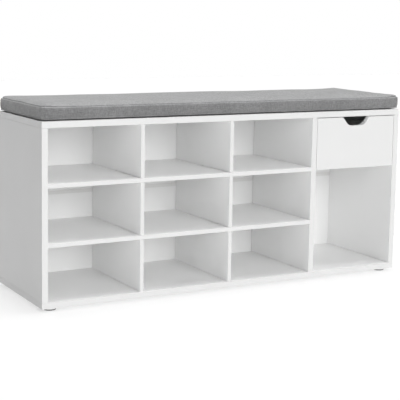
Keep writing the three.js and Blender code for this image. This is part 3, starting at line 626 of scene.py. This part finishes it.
PAD_LOW, PAD_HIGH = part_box("cushion")
PAD_END_SHRINK = 0.5 * MM         # the sewn cover starts this much inside the CAD pad, and swells into it
PAD_SIDE_SHRINK = 1.4 * MM
PAD_TOP_SHRINK = 1.6 * MM
PAD_LIFT = 0.5 * MM               # underside above the CAD pad's
PAD_ASIDE = 2.5 * MM              # the pad lies this much to the right of the bench's middle
PAD_CORNER = 14 * MM
PAD_EDGE = 10 * MM
NEAR_SEAM = np.array([1.4, 1.8, 2.6, 3.8, 5.4, 8.0]) * MM    # steps of the mesh inwards from a seam
PAD_GRID = 13 * MM                # step of the mesh away from the seams
WALL_GRID = 6 * MM                # and up the cushion's sides
HELD_FROM = 6 * MM                # the underside is held still this far in from its seam
CLOTH_FRAMES = 20
TOP_SWELL = 5.2 * MM
SIDE_SWELL = 3.0 * MM
SEAM_DEPTH = 1.1 * MM             # a seam's groove, and how far to each side it fades out
SEAM_WIDTH = 1.5 * MM
SEAM_ROLL = 0.55 * MM             # the roll of cloth beside a seam: its height, place and width
ROLL_PLACE = 3.6 * MM
ROLL_WIDTH = 1.9 * MM
PUCKER_DEPTH = 0.8 * MM           # puckers that run in from a seam
PUCKER_SIZE = 24 * MM
PUCKER_REACH = 13 * MM
SLACK_DEPTH = 1.0 * MM            # broad slackness of the top
SLACK_SIZE = 120 * MM
NO_LENGTH = 1e-9                  # keeps divisors away from zero
SEAM_SHARES = {"from_top_seam": 1.0, "from_base_seam": 0.8}


def graded(half, near_end, step):
    """Coordinates from -half to half, close together near both ends and about a step apart between."""
    inset = np.cumsum(near_end)
    inner = half - inset[-1]
    middle = np.linspace(-inner, inner, max(1, round(2 * inner / step)) + 1)
    low = np.concatenate([[0.0], inset[:-1]]) - half
    return np.concatenate([low, middle, -low[::-1]])


def grid_box(xs, ys, zs):
    """The surface of a box as one quad mesh over three lists of coordinates."""
    index, points, faces = {}, [], []

    def corner(*key):
        if key not in index:
            index[key] = len(points)
            points.append((xs[key[0]], ys[key[1]], zs[key[2]]))
        return index[key]

    counts = (len(xs) - 1, len(ys) - 1, len(zs) - 1)
    for axis in range(3):
        first, second = (axis + 1) % 3, (axis + 2) % 3
        for end in (0, counts[axis]):
            for a in range(counts[first]):
                for b in range(counts[second]):
                    ring = []
                    for step_a, step_b in ((0, 0), (1, 0), (1, 1), (0, 1)):
                        key = [0, 0, 0]
                        key[axis], key[first], key[second] = end, a + step_a, b + step_b
                        ring.append(corner(*key))
                    faces.append(ring if end else ring[::-1])
    return np.array(points), faces


def round_off(points, half, corner, edge):
    """Moves the points of a box's surface onto a box with round upright corners and round edges."""
    core = np.clip(points[:, :2], -(half[:2] - corner), half[:2] - corner)
    away = points[:, :2] - core
    reach = np.maximum(np.linalg.norm(away, axis=1), NO_LENGTH)
    out = np.abs(away).max(axis=1)
    away = away / reach[:, None]
    wall, lid = corner - out, half[2] - np.abs(points[:, 2])
    turn = (wall < edge) & (lid < edge)
    from_arc = np.stack([edge - wall, edge - lid], axis=1)
    length = np.maximum(np.linalg.norm(from_arc, axis=1), NO_LENGTH)
    onto = from_arc * (edge / length)[:, None]
    out = np.where(turn, corner - edge + onto[:, 0], out)
    level = np.where(turn, half[2] - edge + onto[:, 1], np.abs(points[:, 2]))
    return np.column_stack([core + away * out[:, None], np.sign(points[:, 2]) * level])


def ripple(points, size, offset):
    """Smooth noise from about -1 to 1 at each point, with waves of about that size."""
    shift = Vector((offset, 2 * offset, 3 * offset))
    return np.array([noise.noise(Vector(point) / size + shift) for point in points])


def vectors_of(collection, attribute):
    """One vector for each item of a mesh's vertices or normals, as an array."""
    flat = np.zeros(3 * len(collection), np.float32)
    collection.foreach_get(attribute, flat)
    return flat.reshape(-1, 3).astype(float)


def evaluated(piece):
    """The piece as its modifiers leave it."""
    return piece.evaluated_get(bpy.context.evaluated_depsgraph_get())


def blow_up(pad, held):
    """Swells the cover with cloth under pressure and returns where its points end."""
    group = pad.vertex_groups.new(name="held")
    group.add([int(i) for i in np.flatnonzero(held)], 1.0, "REPLACE")
    cloth = pad.modifiers.new("cloth", "CLOTH")
    settings = cloth.settings
    settings.quality = 6
    settings.mass = 0.3
    settings.tension_stiffness = 18
    settings.compression_stiffness = 18
    settings.shear_stiffness = 8
    settings.bending_stiffness = 0.6
    settings.use_pressure = True
    settings.uniform_pressure_force = 4
    settings.effector_weights.gravity = 0
    settings.vertex_group_mass = "held"
    cloth.collision_settings.use_collision = False
    cloth.point_cache.frame_start, cloth.point_cache.frame_end = 1, CLOTH_FRAMES
    scene = bpy.context.scene
    for number in range(1, CLOTH_FRAMES + 1):
        scene.frame_set(number)
    swollen = vectors_of(evaluated(pad).data.vertices, "co")
    pad.modifiers.remove(cloth)
    scene.frame_set(1)
    return swollen


def capped(start, end, cap):
    """The ends, with each point's way from its start eased off towards its cap."""
    way = end - start
    length = np.maximum(np.linalg.norm(way, axis=1), NO_LENGTH)
    return start + way * (cap * np.tanh(length / np.maximum(cap, NO_LENGTH)) / length)[:, None]


def build_cushion():
    """The stuffed cover in place of the CAD pad: a rounded box, blown up, made finer and sewn."""
    low, high = PAD_LOW, PAD_HIGH
    half = np.array([
        (high.x - low.x) / 2 - PAD_END_SHRINK,
        (high.y - low.y) / 2 - PAD_SIDE_SHRINK,
        (high.z - low.z - PAD_LIFT - PAD_TOP_SHRINK) / 2,
    ])
    centre = np.array(
        [(low.x + high.x) / 2 + PAD_ASIDE, (low.y + high.y) / 2, low.z + PAD_LIFT + half[2]])
    flat, faces = grid_box(
        graded(half[0], NEAR_SEAM, PAD_GRID), graded(half[1], NEAR_SEAM, PAD_GRID),
        graded(half[2], NEAR_SEAM[:4], WALL_GRID))
    start = round_off(flat, half, PAD_CORNER, PAD_EDGE) + centre

    to_wall = np.min(half[:2] - np.abs(flat[:, :2]), axis=1)
    under_top, over_base = half[2] - flat[:, 2], flat[:, 2] + half[2]
    on_top, on_base = under_top < TINY, over_base < TINY

    mesh = bpy.data.meshes.new("cushion_cover")
    mesh.from_pydata(start.tolist(), [], faces)
    for name, rise in zip(SEAM_SHARES, (under_top, over_base)):
        values = (to_wall + rise).astype(np.float32)
        mesh.attributes.new(name, "FLOAT", "POINT").data.foreach_set("value", values)
    pad = add_object("cushion_cover", mesh)

    cap = np.where(on_base, 0.0, np.where(on_top, TOP_SWELL, SIDE_SWELL))
    shaped = capped(start, blow_up(pad, on_base & (to_wall > HELD_FROM)), cap)
    mesh.vertices.foreach_set("co", shaped.astype(np.float32).ravel())

    subdivide = pad.modifiers.new("subdivide", "SUBSURF")
    subdivide.levels = subdivide.render_levels = 1
    bpy.context.view_layer.update()
    fine = bpy.data.meshes.new_from_object(evaluated(pad))
    pad.modifiers.remove(subdivide)
    pad.data = fine
    fine.name = "cushion_cover_fine"
    sew(fine, centre, half)
    fine.materials.clear()
    fine.materials.append(LOOKS["linen"])
    fine.shade_smooth()
    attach(pad, "cushion")
    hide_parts("cushion")
    return pad


def sew(mesh, centre, half):
    """Pulls the seams in, rolls the cloth up beside them, and puckers and slackens the cover a little."""
    points, normals = vectors_of(mesh.vertices, "co"), vectors_of(mesh.vertex_normals, "vector")
    puckers = ripple(points, PUCKER_SIZE, offset=3.7)
    move = np.zeros(len(points))
    for name, share in SEAM_SHARES.items():
        away = np.zeros(len(points), np.float32)
        mesh.attributes[name].data.foreach_get("value", away)
        away = away.astype(float)
        move -= share * SEAM_DEPTH * np.exp(-(away / SEAM_WIDTH) ** 2)
        move += share * SEAM_ROLL * np.exp(-((away - ROLL_PLACE) / ROLL_WIDTH) ** 2)
        move += share * PUCKER_DEPTH * puckers * np.exp(-away / PUCKER_REACH)
    level = (points[:, 2] - centre[2]) / half[2]
    move += SLACK_DEPTH * ripple(points, SLACK_SIZE, offset=1.3) * np.clip(level, 0, 1)
    points += normals * move[:, None]
    points[:, 2] = np.maximum(points[:, 2], PAD_LOW.z + PAD_LIFT / 2)
    mesh.vertices.foreach_set("co", points.astype(np.float32).ravel())


# ---------------------------------------------------------------- tape and zip sewn to the cushion

TAPE_ABOVE_HOOKS = 0.15 * MM
TAPE_MARGIN = 3 * MM              # loop tape beyond the hook strip under it, on each side
ZIP_REACH = 410 * MM              # from the bench's middle to each end of the zip
ZIP_HALF = 5 * MM                 # half the height of the band of cover that the zip is set in
ZIP_PITCH = 2.4 * MM              # from one tooth to the next
TOOTH_REACH = 0.8 * MM            # half a tooth's length along the zip
TOOTH_HALF = 1.3 * MM             # half of its height
TOOTH_RISE = 0.3 * MM             # every other tooth sits this much above the middle, the rest below
LIP_RISE = 3.3 * MM               # middle of each cloth lip above or below the teeth
LIP_HALF = 1.7 * MM               # half of its height
SLIDER_START = 6 * MM             # from the end of the zip to its slider
SLIDER_LENGTH = 8 * MM
SLIDER_HALF = 2.6 * MM
TAB_START = 5 * MM                # from where the slider starts to where its pull tab does
TAB_LENGTH = 19 * MM
TAB_HALF = 1.9 * MM
# Each zip part from its innermost to its outermost face, measured out from the cover's rear side
LIP_DEPTH = (-1.5 * MM, 0.9 * MM)
TOOTH_DEPTH = (-1.0 * MM, 0.7 * MM)
SLIDER_DEPTH = (0, 1.7 * MM)
TAB_DEPTH = (1.8 * MM, 2.7 * MM)


def slab(low, high):
    """Points and faces of a box."""
    points = [
        Vector((x, y, z)) for x in (low.x, high.x) for y in (low.y, high.y) for z in (low.z, high.z)]
    return points, [
        [0, 1, 3, 2], [4, 6, 7, 5], [0, 4, 5, 1], [2, 3, 7, 6], [0, 2, 6, 4], [1, 5, 7, 3]]


def joined(solids):
    """Points and faces of several solids as one mesh."""
    points, faces = [], []
    for more_points, more_faces in solids:
        faces += [[corner + len(points) for corner in face] for face in more_faces]
        points += more_points
    return points, faces


def ease(piece, edge):
    """Takes the corners off a piece, by that many millimetres."""
    bevel = piece.modifiers.new("edge", "BEVEL")
    bevel.width = edge * MM
    bevel.segments = 1


def add_loop_tape(side):
    """The soft half of the fastening, sewn under the cushion over a hook strip."""
    low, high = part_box(f"hook_strip_{side}")
    first = Vector((low.x - TAPE_MARGIN, low.y - TAPE_MARGIN, high.z + TAPE_ABOVE_HOOKS))
    last = Vector((high.x + TAPE_MARGIN, high.y + TAPE_MARGIN, PAD_LOW.z + PAD_LIFT))
    points, faces = slab(first, last)
    ease(add_piece(f"loop_tape_{side}", points, faces, "loop_tape", "cushion"), 0.1)


def add_zip(pad):
    """A closed zip along the middle of the cushion's rear side: teeth, two cloth lips and a slider."""
    middle = (PAD_LOW.z + PAD_HIGH.z) / 2
    points = vectors_of(pad.data.vertices, "co")
    near = points[(np.abs(points[:, 2] - middle) < ZIP_HALF) & (np.abs(points[:, 0]) < ZIP_REACH)]
    rear = float(np.median(near[near[:, 1] > 0][:, 1]))

    def part(start, end, depth, rise, half_height):
        """A box between two places along the zip, that much above its middle."""
        low = Vector((start, rear + depth[0], middle + rise - half_height))
        return slab(low, Vector((end, rear + depth[1], middle + rise + half_height)))

    lips = [part(-ZIP_REACH, ZIP_REACH, LIP_DEPTH, sign * LIP_RISE, LIP_HALF) for sign in (-1, 1)]
    teeth = []
    for number in range(round(2 * ZIP_REACH / ZIP_PITCH)):
        x = (number + 0.5) * ZIP_PITCH - ZIP_REACH
        rise = TOOTH_RISE if number % 2 else -TOOTH_RISE
        teeth.append(part(x - TOOTH_REACH, x + TOOTH_REACH, TOOTH_DEPTH, rise, TOOTH_HALF))
    start = SLIDER_START - ZIP_REACH
    tab = start + TAB_START
    slider = [part(start, start + SLIDER_LENGTH, SLIDER_DEPTH, 0, SLIDER_HALF),
              part(tab, tab + TAB_LENGTH, TAB_DEPTH, 0, TAB_HALF)]
    for name, solids, look_name, slot, edge in (
            ("zip_lips", lips, "linen", "linen", 0.5),
            ("zip_teeth", teeth, "grey_nylon", "nylon", 0.25),
            ("zip_slider", slider, "zinc_steel", "zinc_steel", 0.4)):
        points, faces = joined(solids)
        ease(add_piece(name, points, faces, look_name, "cushion"), edge)


cushion_cover = build_cushion()
for side in SIDES:
    add_loop_tape(side)
add_zip(cushion_cover)


# ---------------------------------------------------------------- floor, light and camera

FLOOR_HALF = 8.0
FLOOR_GLOW = 0.40                 # a light-table floor, so that shadows on it stay pale
AMBIENT = 0.03                    # light from all round
# Each bank: the direction its light comes from, how narrow it is, and its strength
LIGHT_BANKS = [
    ((0, 0, 1), 40, 11.2),
    ((0.085, -0.967, 0.242), 30, 4.8),
    ((0.079, -0.903, 0.423), 30, 3.0),
    ((-0.339, -0.930, 0.139), 30, 2.6),
    ((0, -0.978, -0.208), 30, 2.9),
    ((-0.664, -0.664, 0.342), 20, 1.1),
    ((0.807, -0.142, 0.574), 10, 2.1),
    ((0, 0.8, 0.6), 6, 0.7),
]
CAMERA_PLACE = Vector((-1.4468, -2.5358, 0.7078))
CAMERA_YAW = 0.5025               # radians to the right of straight along +Y
CAMERA_PITCH = 0.1375             # radians below level
CAMERA_ROLL = 0.0160
CAMERA_LENS = 100.09
CAMERA_SENSOR = 36
CAMERA_SHIFT = (0.03, -0.0875)


def add_floor():
    """A plain pale floor at z = 0."""
    low, high = -FLOOR_HALF, FLOOR_HALF
    mesh = bpy.data.meshes.new("floor")
    mesh.from_pydata([(low, low, 0), (high, low, 0), (high, high, 0), (low, high, 0)], [], [(0, 1, 2, 3)])
    look = Look("floor_pale", Roughness=0.9, Emission_Color=(1, 1, 1, 1), Emission_Strength=FLOOR_GLOW)
    grain = look.speckle(0.2, detail=2)
    mesh.materials.append(look.finish(look.tint(grain, (0.555, 0.555, 0.555), (0.565, 0.565, 0.565))))
    add_object("floor", mesh)


def add_light():
    """A studio of soft light: one bank overhead, most of the others in front, and a little from all round.

    The camera sees plain white where it sees the studio itself.
    """
    world = bpy.data.worlds.new("studio")
    bpy.context.scene.world = world
    world.use_nodes = True
    nodes = Nodes(world.node_tree)
    direction = nodes.node("ShaderNodeTexCoord").outputs["Generated"]
    total = AMBIENT
    for source, narrowness, strength in LIGHT_BANKS:
        dot = nodes.node("ShaderNodeVectorMath", operation="DOT_PRODUCT")
        nodes.put(dot.inputs[0], direction)
        dot.inputs[1].default_value = Vector(source).normalized()
        lobe = nodes.calc("POWER", nodes.calc("MAXIMUM", dot.outputs["Value"], 0.0), narrowness)
        total = nodes.calc("ADD", nodes.calc("MULTIPLY", lobe, strength), total)
    seen = nodes.node("ShaderNodeLightPath").outputs["Is Camera Ray"]
    background = nodes.tree.nodes["Background"]
    background.inputs["Color"].default_value = (1, 1, 1, 1)
    nodes.put(background.inputs["Strength"], nodes.choose(seen, total, 1.0))


def add_camera():
    """The camera, in front of the bench and to its left, a little above the seat."""
    data = bpy.data.cameras.new("camera")
    data.lens = CAMERA_LENS
    data.sensor_width = CAMERA_SENSOR
    data.shift_x, data.shift_y = CAMERA_SHIFT
    camera = add_object("camera", data)
    level = math.cos(CAMERA_PITCH)
    ahead = Vector((math.sin(CAMERA_YAW) * level, math.cos(CAMERA_YAW) * level, -math.sin(CAMERA_PITCH)))
    right = Vector((math.cos(CAMERA_YAW), -math.sin(CAMERA_YAW), 0))
    above = right.cross(ahead)
    tilted_right = math.cos(CAMERA_ROLL) * right + math.sin(CAMERA_ROLL) * above
    tilted_up = -math.sin(CAMERA_ROLL) * right + math.cos(CAMERA_ROLL) * above
    camera.matrix_world = Matrix.Translation(CAMERA_PLACE) @ Matrix(
        (tilted_right, tilted_up, -ahead)).transposed().to_4x4()
    bpy.context.scene.camera = camera


add_floor()
add_light()
add_camera()
bpy.context.scene.view_settings.view_transform = "Standard"
